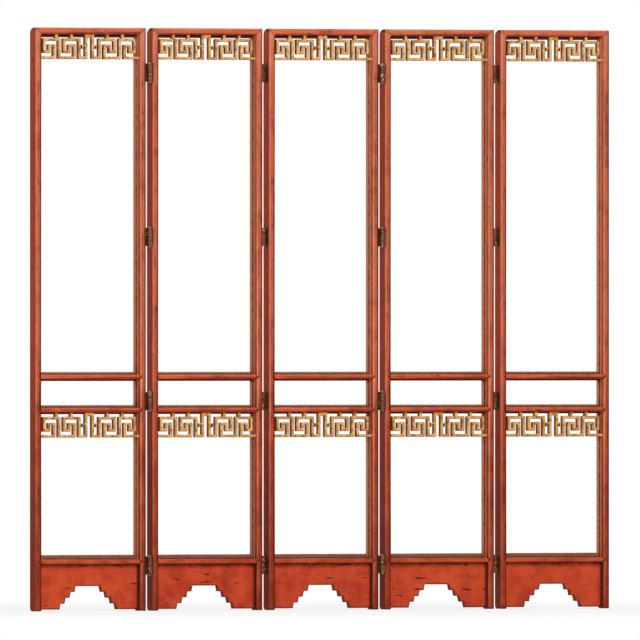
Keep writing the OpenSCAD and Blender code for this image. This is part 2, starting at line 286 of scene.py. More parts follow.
class EffectGroup(Graph):
    """The inside of an effect's node group, whose outputs are all plain values."""

    def __init__(self, name: str, takes: dict[str, float | Triple], gives: Iterable[str]) -> None:
        """Starts a node group.

        Args:
            name: the group's name.
            takes: the defaults of its inputs, by their names.
            gives: the names of its outputs.
        """
        super().__init__(bpy.data.node_groups.new(name, "ShaderNodeTree"))
        sockets = self.tree.interface
        for plug, default in takes.items():
            kind = "NodeSocketVector" if isinstance(default, tuple) else "NodeSocketFloat"
            sockets.new_socket(name=plug, in_out="INPUT", socket_type=kind).default_value = default
        for plug in gives:
            sockets.new_socket(name=plug, in_out="OUTPUT", socket_type="NodeSocketFloat")
        self.given = outputs_of(self.tree.nodes.new("NodeGroupInput"))
        self.leave = self.tree.nodes.new("NodeGroupOutput")

    def give(self, name: str, value: Socket) -> None:
        """Joins one of the outputs."""
        self.feed(self.leave.inputs[name], value)


@cache
def worn_edges() -> bpy.types.NodeTree:
    """Finds the piece's own arrises: a dark line along them, and bare patches.

    Returns:
        The node group.
    """
    group = EffectGroup("worn edges", {"Place": NOWHERE, "Reach": 5 * MM}, ("Line", "Bare"))
    edge = group.enclosure(group.given["Reach"], inside=True)
    fine = group.noise(group.given["Place"], scale=110.0, detail=4.0, rough=0.6)
    broad = group.noise(group.given["Place"], scale=24.0, detail=4.0, rough=0.6)
    group.give("Line", group.rise(group.stir(edge, fine, share=0.22), Band(0.16, 0.34)))
    group.give("Bare", group.rise(group.stir(edge, broad, share=0.75), Band(0.40, 0.50)))
    return group.tree


@cache
def arris_lines() -> bpy.types.NodeTree:
    """Finds the strips beside front arrises: shaded where they look right or down, lit where left or up.

    Returns:
        The node group.
    """
    group = EffectGroup("arris lines", {"Reach": 5 * MM}, ("Shaded", "Lit"))
    bent = group.add("Bevel", {"Radius": group.given["Reach"]}, samples=6).outputs["Normal"]
    to_piece = {"vector_type": "NORMAL", "convert_from": "WORLD", "convert_to": "OBJECT"}
    way = group.parts(group.add("VectorTransform", {0: bent}, **to_piece).outputs[0])
    front = group.rise(group.maths("ABSOLUTE", way["Y"]), Band(0.25, 0.6))
    away = group.maths("SUBTRACT", way["X"], way["Z"])
    group.give("Shaded", group.times(group.rise(away, Band(0.05, 0.13)), front))
    group.give("Lit", group.times(group.rise(away, Band(-0.05, -0.14)), front))
    return group.tree


@cache
def on_panel() -> bpy.types.NodeTree:
    """Measures a place on its own panel: across from the left edge, and how near it is to a mitre.

    Returns:
        The node group.
    """
    group = EffectGroup("on panel", {"Place": NOWHERE}, ("Across", "Mitre"))
    place = group.parts(group.given["Place"])
    across = group.maths("MODULO", group.maths("SUBTRACT", place["X"], SCREEN_LEFT), PANEL_PITCH)
    to_side = group.maths("MINIMUM", across, group.maths("SUBTRACT", PANEL_WIDTH, across))
    to_top = group.maths("SUBTRACT", SCREEN_TOP, place["Z"])
    off_mitre = group.maths("ABSOLUTE", group.maths("SUBTRACT", to_side, to_top))
    group.give("Across", across)
    group.give("Mitre", group.rise(off_mitre, Band(6 * MM, 2 * MM)))
    return group.tree


@cache
def facing() -> bpy.types.NodeTree:
    """Tells how far a face looks to the front or back, up, and to the left and top, the side that is painted
    as lit.

    Returns:
        The node group.
    """
    group = EffectGroup("facing", {}, ("Front", "Up", "LitSide"))
    own = group.parts(group.add("TexCoord").outputs["Normal"])
    toward = group.plus(group.times(own["X"], -1.0), own["Z"], share=0.9)
    group.give("Front", group.maths("ABSOLUTE", own["Y"]))
    group.give("Up", own["Z"])
    group.give("LitSide", group.rise(toward, Band(-0.02, 0.24)))
    return group.tree


@cache
def wood_grain() -> bpy.types.NodeTree:
    """Makes long streaks that run with the wood.

    Returns:
        The node group.
    """
    group = EffectGroup("wood grain", {"Place": NOWHERE, "Direction": EVEN}, ("Streaks",))
    along = group.scaled(group.given["Place"], group.given["Direction"])
    group.give("Streaks", group.noise(along, scale=240.0, detail=4.0, rough=0.6))
    return group.tree


@cache
def clouding() -> bpy.types.NodeTree:
    """Makes slow and quick changes of tone over a hand-laid coat.

    Returns:
        The node group.
    """
    group = EffectGroup("clouding", {"Place": NOWHERE, "Scale": 1.0}, ("Broad", "Close", "Fine"))
    place = group.scaled(group.given["Place"], group.given["Scale"])
    group.give("Broad", group.rise(group.noise(place, scale=3.1, detail=2.0), Band(0.34, 0.66)))
    group.give("Close", group.rise(group.noise(place, scale=19.0, detail=4.0), Band(0.33, 0.67)))
    group.give("Fine", group.rise(group.noise(place, scale=140.0, detail=4.0), Band(0.3, 0.7)))
    return group.tree


@cache
def settled_dirt_and_shade() -> bpy.types.NodeTree:
    """Lays grime with painted shade in the piece's own inner corners, and dust on what faces up.

    Returns:
        The node group.
    """
    group = EffectGroup("settled dirt", {"Place": NOWHERE, "Reach": 10 * MM}, ("GrimeAndShade", "Dust"))
    uneven = group.noise(group.given["Place"], scale=60.0)
    shut = group.enclosure(group.given["Reach"], inside=False)
    up = group.parts(group.add("TexCoord").outputs["Normal"])["Z"]
    group.give("GrimeAndShade", group.rise(group.times(shut, uneven), Band(0.04, 0.26)))
    group.give("Dust", group.times(group.rise(up, Band(0.55, 0.95)), uneven))
    return group.tree


@cache
def knocks() -> bpy.types.NodeTree:
    """Makes a pattern whose few highest spots, longer along the grain, are knocks and rubs.

    Returns:
        The node group.
    """
    group = EffectGroup("knocks", {"Place": NOWHERE, "Direction": EVEN}, ("Marks",))
    least_squeeze = (0.18, 0.18, 0.18)
    squeeze = {0: group.given["Direction"], 1: least_squeeze}
    longer = group.add("VectorMath", squeeze, operation="ADD").outputs[0]
    spots = group.noise(group.scaled(group.given["Place"], longer), scale=74.0, rough=0.5)
    zones = group.noise(group.given["Place"], scale=6.0, detail=1.0)
    group.give("Marks", group.plus(spots, zones, share=0.22))
    return group.tree


# ---- Finishes ----


class Surface(Graph):
    """A material in the making: coats are laid over each other, and then join its shader."""

    def __init__(self, material: bpy.types.Material) -> None:
        """Starts on a new material.

        Args:
            material: the material, which gets its nodes here.
        """
        material.use_nodes = True
        super().__init__(material.node_tree)
        self.shader = next(node for node in self.tree.nodes if node.type == "BSDF_PRINCIPLED")
        self.place = self.add("TexCoord").outputs["Object"]
        self.colour: object = WHITE

    def lay(self, coat: object, share: Socket) -> None:
        """Lays a colour over the coats so far, as a share from 0 to 1."""
        self.colour = self.blend(share, self.colour, coat)

    def join(self, inputs: dict[str, object]) -> None:
        """Sets or joins inputs of the shader, with the coats as its colour."""
        for name, value in {"Base Color": self.colour, **inputs}.items():
            self.feed(self.shader.inputs[name], value)

    def emboss(self, relief: Socket, strength: float, depth: float) -> None:
        """Gives the shader a relief, of a strength from 0 to 1 and a depth in metres."""
        bump = self.add("Bump", {"Strength": strength, "Distance": depth, "Height": relief})
        self.feed(self.shader.inputs["Normal"], bump.outputs["Normal"])


@dataclass(frozen=True)
class Finish:
    """A surface finish. A finish builds one material, which every piece with that finish shares."""

    name: str
    slot: Slot

    def material(self) -> bpy.types.Material:
        """Gives the finish's material, and builds it the first time.

        Returns:
            The material.
        """
        made = bpy.data.materials.get(self.name)
        if made is None:
            made = bpy.data.materials.new(self.name)
            self.paint(Surface(made))
        return made

    def paint(self, surface: Surface) -> None:
        """Lays the coats and feeds the shader. Each kind of finish has its own."""
        raise NotImplementedError


@dataclass(frozen=True)
class Lacquer(Finish):
    """Old red lacquer over a dark undercoat, dark along the arrises from wear and from painted shade, and
    paler towards the top.

    A share tells how much of a colour is laid, and a band where that starts and where it is at its most.
    """

    grain: Grain
    coat: Colour = tone(186, 72, 44)
    deep: Colour = tone(140, 38, 22)
    orange: Colour = tone(204, 84, 42)
    upper_tone: Colour = tone(194, 102, 74)
    pale: Colour = tone(232, 148, 112)
    # The dark undercoat, laid for wear and knocks, and also as painted shade.
    ground_and_shade: Colour = tone(70, 26, 14)
    dust: Colour = tone(180, 140, 116)
    smoke_and_shade: Colour = tone(112, 34, 18)
    sideways: Band = Band(0.7, 0.3)
    coat_share: float = 0.8
    orange_share: float = 0.5
    paling_upward: Band = Band(850 * MM, 1750 * MM, 0.65)
    shade_toward_foot: Band = Band(950 * MM, 100 * MM, 0.5)
    streaks: float = 0.6
    dark_streaks: Band = Band(0.46, 0.70)
    pale_streaks: Band = Band(0.44, 0.26, 0.4)
    patches: float = 0.45
    patch_scale: float = 16.0
    dark_patches: Band = Band(0.49, 0.66)
    orange_patches: Band = Band(0.5, 0.36, 0.5)
    knocking: Band = Band(0.81, 0.875)
    knock_share: float = 0.85
    knock_depth: float = 1.5
    mitre_share: float = 0.85
    least_line: float = 0.7
    uneven_line: float = 0.35
    lighting: Band = Band(-300 * MM, 900 * MM, 0.7)
    shaded_share: float = 0.95
    line_share: float = 0.8
    lit_side_share: float = 0.55
    bare_share: float = 0.8
    grime_and_shade_share: float = 0.8
    dust_share: float = 0.2
    edge_reach: float = 7.5 * MM
    line_reach: float = 7.0 * MM
    dirt_and_shade_reach: float = 12.0 * MM
    gloss: float = 0.06
    dullness: float = 0.36
    cloudy_dullness: float = 0.12
    bare_dullness: float = 0.2
    dusty_dullness: float = 0.3
    grain_depth: float = 0.6
    relief_strength: float = 0.35
    relief_depth: float = 0.6 * MM

    def paint(self, surface: Surface) -> None:
        """Lays the coat, its paling towards the top, wear, knocks, grime and dust, painted light and shade,
        and the brushed relief.

        Args:
            surface: the material in the making.
        """
        place = surface.place
        along = {"Place": place, "Direction": self.grain.value}
        clouds = surface.effect(clouding(), {"Place": place})
        streaks = surface.effect(wood_grain(), along)["Streaks"]
        knocked = surface.rise(surface.effect(knocks(), along)["Marks"], self.knocking)
        edges = surface.effect(worn_edges(), {"Place": place, "Reach": self.edge_reach})
        lines = surface.effect(arris_lines(), {"Reach": self.line_reach})
        dirt_and_shade = surface.effect(settled_dirt_and_shade(), {"Place": place, "Reach": self.dirt_and_shade_reach})
        at = surface.effect(facing()) | surface.effect(on_panel(), {"Place": place}) | surface.parts(place)
        patch = surface.noise(place, self.patch_scale, rough=0.6)

        surface.colour = self.deep
        surface.lay(self.coat, surface.times(clouds["Close"], self.coat_share))
        surface.lay(self.orange, surface.times(clouds["Broad"], self.orange_share))
        # Paler towards the top.
        surface.lay(self.upper_tone, surface.rise(at["Z"], self.paling_upward))
        # Painted shade: darker towards the foot.
        surface.lay(self.smoke_and_shade, surface.rise(at["Z"], self.shade_toward_foot))
        surface.lay(self.deep, surface.rise(streaks, self.dark_streaks, self.streaks))
        surface.lay(self.pale, surface.rise(streaks, self.pale_streaks, self.streaks))
        surface.lay(self.smoke_and_shade, surface.rise(patch, self.dark_patches, self.patches))
        surface.lay(self.orange, surface.rise(patch, self.orange_patches, self.patches))
        self.tint(surface, at)

        off_mitre = surface.plus(1.0, at["Mitre"], -self.mitre_share)
        uneven = surface.times(off_mitre, surface.plus(self.least_line, clouds["Close"], self.uneven_line))
        lit = surface.times(uneven, surface.rise(at["Z"], self.lighting), lines["Lit"])
        # Painted shade: the dark line along the arrises is fuller on faces that look right or down, away from
        # the light.
        line_on_shaded_side = surface.plus(self.line_share, at["LitSide"], -self.lit_side_share)
        # Painted highlight: pale strips beside the arrises that look left or up, fuller higher up.
        surface.lay(self.pale, lit)
        # Painted shade: dark strips beside the arrises that look right or down.
        surface.lay(self.ground_and_shade, surface.times(uneven, lines["Shaded"], self.shaded_share))
        # Grime and painted shade in the piece's own inner corners.
        surface.lay(self.ground_and_shade, surface.times(dirt_and_shade["GrimeAndShade"], self.grime_and_shade_share))
        surface.lay(self.ground_and_shade, surface.times(knocked, self.knock_share))
        surface.lay(self.ground_and_shade, surface.times(edges["Line"], line_on_shaded_side, off_mitre))
        surface.lay(self.ground_and_shade, surface.times(edges["Bare"], off_mitre, self.bare_share))
        surface.lay(self.dust, surface.times(dirt_and_shade["Dust"], self.dust_share))

        dull = surface.plus(self.dullness, clouds["Fine"], self.cloudy_dullness)
        dull = surface.plus(dull, edges["Bare"], self.bare_dullness)
        dull = surface.plus(dull, dirt_and_shade["Dust"], self.dusty_dullness, clamp=True)
        surface.join({"Roughness": dull, "Specular IOR Level": self.gloss})
        relief = surface.plus(clouds["Fine"], streaks, self.grain_depth)
        relief = surface.plus(relief, knocked, -self.knock_depth)
        surface.emboss(relief, self.relief_strength, self.relief_depth)

    def tint(self, surface: Surface, at: Sockets) -> None:
        """Tones single faces over the plain coat. Each kind of member has its own."""
        raise NotImplementedError


@dataclass(frozen=True)
class UprightLacquer(Lacquer):
    """The stiles' lacquer: deep red on the outer sides as painted shade, paler at the back of the walls round
    the lights.
    """

    paling_upward: Band = Band(450 * MM, 950 * MM, 0.65)
    paling_at_top: Band = Band(1620 * MM, SCREEN_TOP, 0.35)
    side_shade_glaze: Colour = tone(186, 66, 24)
    side_shade_share: float = 0.7
    foot_share: float = 0.6
    outer_side: Band = Band(PANEL_WIDTH / 2 - 6 * MM, PANEL_WIDTH / 2 - 3 * MM)
    wall_back: Band = Band(-9 * MM, -5 * MM, 0.7)
    beside_apron: Band = Band(152 * MM, 146 * MM, 0.8)

    def tint(self, surface: Surface, at: Sockets) -> None:
        """Glazes the outer sides deeper as painted shade, pales the top and the walls round the lights, and
        paints shade beside the apron.

        Args:
            surface: the material in the making.
            at: what is known of a place and of the way that its face looks.
        """
        side = surface.rise(at["Front"], self.sideways)
        off_middle = surface.maths("ABSOLUTE", surface.maths("SUBTRACT", at["Across"], PANEL_WIDTH / 2))
        outer = surface.rise(off_middle, self.outer_side)
        outside = surface.times(side, outer)
        inside = surface.times(side, surface.maths("SUBTRACT", 1.0, outer))
        foot = self.shade_toward_foot.reaching(self.foot_share)
        # Paler still at the very top.
        surface.lay(self.pale, surface.rise(at["Z"], self.paling_at_top))
        # Painted shade: the outer sides are laid deeper, and darker still towards the foot.
        surface.lay(self.side_shade_glaze, surface.times(outside, self.side_shade_share))
        surface.lay(self.smoke_and_shade, surface.times(outside, surface.rise(at["Z"], foot)))
        surface.lay(self.pale, surface.times(inside, surface.rise(at["Y"], self.wall_back)))
        # Painted shade on the inner walls beside the apron, under the bottom rail.
        surface.lay(self.ground_and_shade, surface.times(inside, surface.rise(at["Z"], self.beside_apron)))


@dataclass(frozen=True)
class RailLacquer(Lacquer):
    """The rails' lacquer, with painted shade in the rebates and a painted highlight on the top of the lowest
    sill.
    """

    behind_face: Band = Band(2 * MM, 3 * MM, 0.75)
    before_lip: Band = Band(17 * MM, 13 * MM)
    upward: Band = Band(0.2, 0.4)
    lip_back: Band = Band(12 * MM, 16 * MM)
    lowest_sill: Band = Band(190 * MM, 180 * MM, 0.6)

    def tint(self, surface: Surface, at: Sockets) -> None:
        """Paints shade on the lips in the rebates, and a highlight on the back of the lowest one.

        Args:
            surface: the material in the making.
            at: what is known of a place and of the way that its face looks.
        """
        behind = surface.rise(at["Y"], self.behind_face)
        # Painted shade on the lips in the rebates.
        surface.lay(self.ground_and_shade, surface.times(behind, surface.rise(at["Y"], self.before_lip)))
        # Painted highlight on the top of the lowest sill, where it faces up.
        sill = surface.times(surface.rise(at["Z"], self.lowest_sill), surface.rise(at["Y"], self.lip_back))
        surface.lay(self.pale, surface.times(sill, surface.rise(at["Up"], self.upward)))


@dataclass(frozen=True)
class ApronLacquer(Lacquer):
    """The aprons' lacquer, smudged below the rail, with painted shade on the cut edges of the arch."""

    cut_share: float = 0.75
    under_rail: Band = Band(130 * MM, 146 * MM)
    smudge_squeeze: Triple = (0.25, 1.0, 1.0)
    smudge_scale: float = 90.0
    smudge_lift: float = 0.14
    smudging: Band = Band(0.58, 0.72, 0.75)

    def tint(self, surface: Surface, at: Sockets) -> None:
        """Paints shade on the cut edges, and smudges the board under its rail.

        Args:
            surface: the material in the making.
            at: what is known of a place and of the way that its face looks.
        """
        near = surface.rise(at["Z"], self.under_rail)
        squeezed = surface.scaled(surface.place, self.smudge_squeeze)
        streaks = surface.noise(squeezed, self.smudge_scale, detail=4.0, rough=0.6)
        smudge = surface.rise(surface.plus(streaks, near, self.smudge_lift), self.smudging)
        # Painted shade on the cut edges, which look sideways.
        surface.lay(self.smoke_and_shade, surface.rise(at["Front"], self.sideways, self.cut_share))
        surface.lay(self.ground_and_shade, surface.times(smudge, near))


@dataclass(frozen=True)
class Gilding(Finish):
    """Leaf gilding over red bole on a carved fret, with the side walls left dark brown and the undersides
    dark brown as painted shade.
    """

    leaf: Colour = tone(204, 144, 68)
    pale: Colour = tone(238, 192, 118)
    bole: Colour = tone(160, 88, 44)
    umber_and_shade: Colour = tone(124, 60, 20)
    cloud_scale: float = 2.2
    edge_reach: float = 2.5 * MM
    dirt_and_shade_reach: float = 6.0 * MM
    up_share: float = 0.8
    ragged_scale: float = 150.0
    ragged_turn: float = 0.35
    ragged_depth: float = 5.0 * MM
    gilt_faces: Band = Band(0.45, 0.8)
    gilt_front: Band = Band(-6.0 * MM, -9.0 * MM, 0.85)
    bole_share: float = 0.55
    loss_scale: float = 75.0
    losses: Band = Band(0.48, 0.66, 0.7)
    rubbed_share: float = 0.45
    grime_and_shade_share: float = 0.7
    metal_share: float = 0.35
    gloss: float = 0.2
    dullness: float = 0.5
    cloudy_dullness: float = 0.2
    leaf_shine: float = 0.14
    relief_strength: float = 0.5
    relief_depth: float = 0.6 * MM

    def paint(self, surface: Surface) -> None:
        """Lays leaf on what faces front or back, and on what faces up as painted light, lets the bole show
        through it, and leaves the rest dark, the undersides as painted shade.

        Args:
            surface: the material in the making.
        """
        place = surface.place
        clouds = surface.effect(clouding(), {"Place": place, "Scale": self.cloud_scale})
        edges = surface.effect(worn_edges(), {"Place": place, "Reach": self.edge_reach})
        dirt_and_shade = surface.effect(settled_dirt_and_shade(), {"Place": place, "Reach": self.dirt_and_shade_reach})
        at = surface.effect(facing()) | surface.parts(place)
        ragged = surface.noise(place, self.ragged_scale)
        # Painted light and shade: faces that look up keep the leaf, and faces that look down lose it.
        turned = surface.stir(surface.plus(at["Front"], at["Up"], self.up_share), ragged, self.ragged_turn)
        depth = surface.stir(at["Y"], ragged, self.ragged_depth)
        by_turn, by_depth = surface.rise(turned, self.gilt_faces), surface.rise(depth, self.gilt_front)
        leafed_and_lit = surface.maths("MAXIMUM", by_turn, by_depth)

        surface.colour = self.leaf
        surface.lay(self.pale, clouds["Close"])
        surface.lay(self.bole, surface.times(clouds["Fine"], self.bole_share))
        surface.lay(self.umber_and_shade, surface.rise(surface.noise(place, self.loss_scale), self.losses))
        surface.lay(self.pale, surface.times(edges["Line"], self.rubbed_share))
        # Grime and painted shade in the fret's own inner corners.
        surface.lay(self.umber_and_shade, surface.times(dirt_and_shade["GrimeAndShade"], self.grime_and_shade_share))
        # Dark brown where there is no leaf: real on the side walls, painted shade on the undersides.
        surface.colour = surface.blend(leafed_and_lit, self.umber_and_shade, surface.colour)

        dull = surface.plus(self.dullness, clouds["Fine"], self.cloudy_dullness)
        surface.join({
            "Metallic": surface.times(leafed_and_lit, self.metal_share),
            "Roughness": surface.plus(dull, leafed_and_lit, -self.leaf_shine),
            "Specular IOR Level": self.gloss,
        })
        relief = surface.plus(clouds["Fine"], clouds["Close"], share=2.0)
        surface.emboss(relief, self.relief_strength, self.relief_depth)


@dataclass(frozen=True)
class Bronze(Finish):
    """Darkened bronze with a brown patina, rubbed bright where things touch it."""

    polish: float
    metal: Colour = tone(226, 178, 124)
    brown: Colour = tone(112, 68, 42)
    dark: Colour = tone(72, 38, 22)
    cloud_scale: float = 3.5
    edge_reach: float = 1.5 * MM
    spot_scale: float = 105.0
    spot_start: float = 0.63
    spot_end: float = 0.66
    spot_share: float = 0.8
    polish_spread: float = 0.12
    metal_share: float = 0.5
    dullness: float = 0.52
    polish_shine: float = 0.2
    relief_strength: float = 0.4
    relief_depth: float = 0.3 * MM

    def paint(self, surface: Surface) -> None:
        """Lays the patina and rubs it off at edges and in spots.

        Args:
            surface: the material in the making.
        """
        place = surface.place
        clouds = surface.effect(clouding(), {"Place": place, "Scale": self.cloud_scale})
        edges = surface.effect(worn_edges(), {"Place": place, "Reach": self.edge_reach})
        rubbing = Band(self.spot_start - self.polish_spread * self.polish, self.spot_end, self.spot_share)
        spots = surface.rise(surface.noise(place, self.spot_scale, rough=0.6), rubbing)
        bright = surface.maths("MAXIMUM", surface.times(edges["Line"], self.polish), spots)
        surface.colour = self.dark
        surface.lay(self.brown, clouds["Close"])
        surface.lay(self.metal, bright)
        dull = surface.plus(self.dullness, bright, -self.polish_shine)
        surface.join({"Metallic": self.metal_share, "Roughness": dull})
        surface.emboss(clouds["Fine"], self.relief_strength, self.relief_depth)


STILE_LACQUER = UprightLacquer("red lacquer on uprights", Slot.LACQUER, Grain.UPRIGHT)
RAIL_LACQUER = RailLacquer(
    "red lacquer on rails", Slot.LACQUER, Grain.LEVEL,
    coat=tone(216, 92, 54), deep=tone(172, 54, 30), orange=tone(228, 104, 56),
    shade_toward_foot=Lacquer.shade_toward_foot.reaching(0.28), patches=0.35,
    lighting=Lacquer.lighting.reaching(0.4), shaded_share=0.7, line_reach=3.0 * MM,
)
APRON_LACQUER = ApronLacquer(
    "red lacquer on aprons", Slot.LACQUER, Grain.LEVEL,
    coat=tone(204, 77, 48), deep=tone(172, 54, 33), orange=tone(212, 83, 46),
    shade_toward_foot=Lacquer.shade_toward_foot.reaching(0.0), streaks=0.2, patches=0.3, knocking=Band(0.76, 0.825),
    lighting=Lacquer.lighting.reaching(0.0), shaded_share=0.4,
)
FRET_GILDING = Gilding("worn gilding", Slot.GILDING)
LEAF_BRONZE = Bronze("aged bronze", Slot.BRONZE, polish=0.4)
PIN_BRONZE = Bronze("rubbed bronze", Slot.PIN, polish=0.8)
SCREW_BRONZE = Bronze("dull bronze", Slot.SCREW, polish=0.1)


# ---- Meshes ----


def flatten(mesh: BMesh) -> None:
    """Clears the seams from a mesh's flat faces."""
    bmesh.ops.dissolve_limit(mesh, angle_limit=FLAT_ANGLE, verts=mesh.verts, edges=mesh.edges)


def merged_copy(node: str) -> BMesh:
    """Copies a node's triangles and merges them into closed skins with whole faces.

    Args:
        node: name of the CAD node.

    Returns:
        The copy, which the caller frees.
    """
    mesh = bmesh.new()
    mesh.from_mesh(frame["nodes"][node].data)
    bmesh.ops.remove_doubles(mesh, verts=mesh.verts, dist=2 * HAIR)
    flatten(mesh)
    return mesh


def round_over(mesh: BMesh, edges: list[BMEdge], radius: float, segments: int) -> None:
    """Rounds edges over.

    Args:
        mesh: the piece.
        edges: which of its edges.
        radius: how far from the edge the rounding starts, in metres.
        segments: how many strips make the round.
    """
    bmesh.ops.bevel(
        mesh, geom=edges, offset=radius, offset_type="OFFSET", affect="EDGES", segments=segments,
        profile=0.5, material=-1, clamp_overlap=False, loop_slide=True,
    )


def is_arris(edge: BMEdge, least_angle: float = 40.0) -> bool:
    """Whether an edge is a sharp outer one."""
    return edge.is_manifold and edge.is_convex and edge.calc_face_angle() > math.radians(least_angle)


def runs_along(edge: BMEdge, axis: Axis) -> bool:
    """Whether an edge runs along an axis."""
    way = (edge.verts[1].co - edge.verts[0].co).normalized()
    return abs(way[axis]) > 0.999


def spans(edge: BMEdge, axis: Axis, low: float, high: float) -> bool:
    """Whether both ends of an edge lie between two places on an axis."""
    return all(low <= vert.co[axis] <= high for vert in edge.verts)


def join(mesh: BMesh, other: BMesh) -> None:
    """Adds another mesh to a mesh.

    Args:
        mesh: the mesh that grows.
        other: the other one, which is freed.
    """
    data = bpy.data.meshes.new("joining")
    other.to_mesh(data)
    other.free()
    mesh.from_mesh(data)
    bpy.data.meshes.remove(data)


def islands(mesh: BMesh) -> list[list[BMVert]]:
    """Sorts a mesh's vertices into its separate bodies.

    Args:
        mesh: the mesh.

    Returns:
        The vertices of each body, lowest body first.
    """
    left = set(mesh.verts)
    found = []
    while left:
        reached = [left.pop()]
        for vert in reached:
            near = {edge.other_vert(vert) for edge in vert.link_edges} & left
            left -= near
            reached.extend(near)
        found.append(reached)
    return sorted(found, key=lambda body: min((vert.co.z, vert.co.x) for vert in body))


def extent(verts: Iterable[BMVert]) -> tuple[Vector, Vector]:
    """The lowest and highest corner of some vertices."""
    places = [vert.co for vert in verts]
    return Vector(map(min, zip(*places))), Vector(map(max, zip(*places)))


# ---- Pieces ----


@dataclass
class Piece:
    """A piece of the screen, which takes the place of a node and moves with a panel."""

    node: str
    panel: int
    finish: Finish
    ending: str

    @cached_property
    def box(self) -> tuple[Vector, Vector]:
        """The node's lowest and highest corner."""
        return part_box(self.node)

    def make(self) -> BMesh:
        """Makes the mesh in the frame's own coordinates. Each kind of piece has its own way."""
        raise NotImplementedError

    def build(self) -> None:
        """Makes and dresses the piece, and lets it ride on its panel in place of its node."""
        name, body = f"{self.node}_{self.ending}", f"panel_{self.panel}"
        data = bpy.data.meshes.new(name)
        mesh = self.make()
        mesh.to_mesh(data)
        mesh.free()
        data.shade_smooth()
        data.set_sharp_from_angle(angle=SHARP_ANGLE)
        data.materials.append(self.finish.material())
        piece = bpy.data.objects.new(name, data)
        bpy.context.scene.collection.objects.link(piece)
        piece.modifiers.new("even shading", "WEIGHTED_NORMAL").keep_sharp = True
        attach(piece, body)
        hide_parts(self.node)
        LOG.info("%s: %d faces, rides on %s", name, len(data.polygons), body)


@dataclass
class SoftenedPiece(Piece):
    """A piece that is copied from its node with softened arrises."""

    ending: str = "lacquered"

    def soften(self, mesh: BMesh) -> None:
        """Softens the copy's arrises. Each kind of piece has its own way."""
        raise NotImplementedError

    def make(self) -> BMesh:
        """Copies the node and softens the copy.

        Returns:
            The copy.
        """
        mesh = merged_copy(self.node)
        self.soften(mesh)
        return mesh


@dataclass
class SmallParts(Piece):
    """Small parts of one kind, made anew in every place where the node has one."""

    def place(self, mesh: BMesh, low: Vector, high: Vector, plain: list[BMVert]) -> None:
        """Makes one part between two corners, where the node has a plain one. Each kind has its own way."""
        raise NotImplementedError

    def make(self) -> BMesh:
        """Makes every part.

        Returns:
            One mesh with all of them.
        """
        plain, mesh = merged_copy(self.node), bmesh.new()
        for body in islands(plain):
            self.place(mesh, *extent(body), body)
        plain.free()
        return mesh


# ---- Panels ----


@dataclass
class Bar(SoftenedPiece):
    """A stile or a rail: a long bar whose arrises run one way."""

    way: Axis = field(kw_only=True)
    front_radius: float = 2.2 * MM
    back_radius: float = 1.2 * MM
    front_segments: int = 3
    back_segments: int = 2
    zone: float = 1.5 * MM
    shortest: float = 12 * MM

    def soften_between(
        self, mesh: BMesh, left: float, right: float, front_radius: float, back_radius: float,
    ) -> None:
        """Rounds the arrises along a stretch of the bar over, first in front and then at the back.

        Args:
            mesh: the piece.
            left: where the stretch starts across the screen.
            right: where it ends.
            front_radius: radius of the front arrises.
            back_radius: radius of the ones at the back.
        """
        low, high = self.box
        for near, far, radius, segments in (
            (low.y, low.y + self.zone, front_radius, self.front_segments),
            (high.y - self.zone, high.y, back_radius, self.back_segments),
        ):
            arrises = [
                edge for edge in mesh.edges
                if is_arris(edge) and runs_along(edge, self.way) and edge.calc_length() > self.shortest
                and spans(edge, Axis.Y, near, far) and spans(edge, Axis.X, left, right)
            ]
            round_over(mesh, arrises, radius, segments)


@dataclass
class Rail(Bar):
    """A rail, or a panel's two middle rails, which share a node."""

    finish: Finish = RAIL_LACQUER
    way: Axis = Axis.X

    def soften(self, mesh: BMesh) -> None:
        """Rounds the front arrises well over, and eases the ones at the back."""
        low, high = self.box
        self.soften_between(mesh, low.x, high.x, self.front_radius, self.back_radius)


@dataclass
class Stile(Bar):
    """An upright, whose outer arris stays crisper so that it clears the plates let in behind it."""

    finish: Finish = STILE_LACQUER
    way: Axis = Axis.Z
    outer_radius: float = 0.7 * MM
    outer_back_radius: float = 0.6 * MM

    def soften(self, mesh: BMesh) -> None:
        """Softens the outer half a little, and then the inner half more.

        Args:
            mesh: the copy.
        """
        low, high = self.box
        middle = (low.x + high.x) / 2
        outer, inner = (low.x, middle), (middle, high.x)
        if self.node.endswith("right_stile"):
            outer, inner = inner, outer
        self.soften_between(mesh, *outer, self.outer_radius, self.outer_back_radius)
        self.soften_between(mesh, *inner, self.front_radius, self.back_radius)


@dataclass
class Apron(SoftenedPiece):
    """The board under the bottom rail, with its stepped arch."""

    finish: Finish = APRON_LACQUER
    arch_share: float = 0.6
    radius: float = 1.0 * MM
    segments: int = 2
    face_depth: float = 10 * HAIR

    def soften(self, mesh: BMesh) -> None:
        """Softens the arch's edges, front and back.

        Args:
            mesh: the copy.
        """
        low, high = self.box
        arch_top = low.z + self.arch_share * (high.z - low.z)

        def is_on_face(edge: BMEdge) -> bool:
            """Whether an edge lies in the board's front or back face."""
            front, back = (low.y, low.y + self.face_depth), (high.y - self.face_depth, high.y)
            return spans(edge, Axis.Y, *front) or spans(edge, Axis.Y, *back)

        outline = [
            edge for edge in mesh.edges
            if is_arris(edge) and is_on_face(edge) and spans(edge, Axis.Z, low.z, arch_top)
            and not runs_along(edge, Axis.Z)
        ]
        round_over(mesh, outline, self.radius, self.segments)


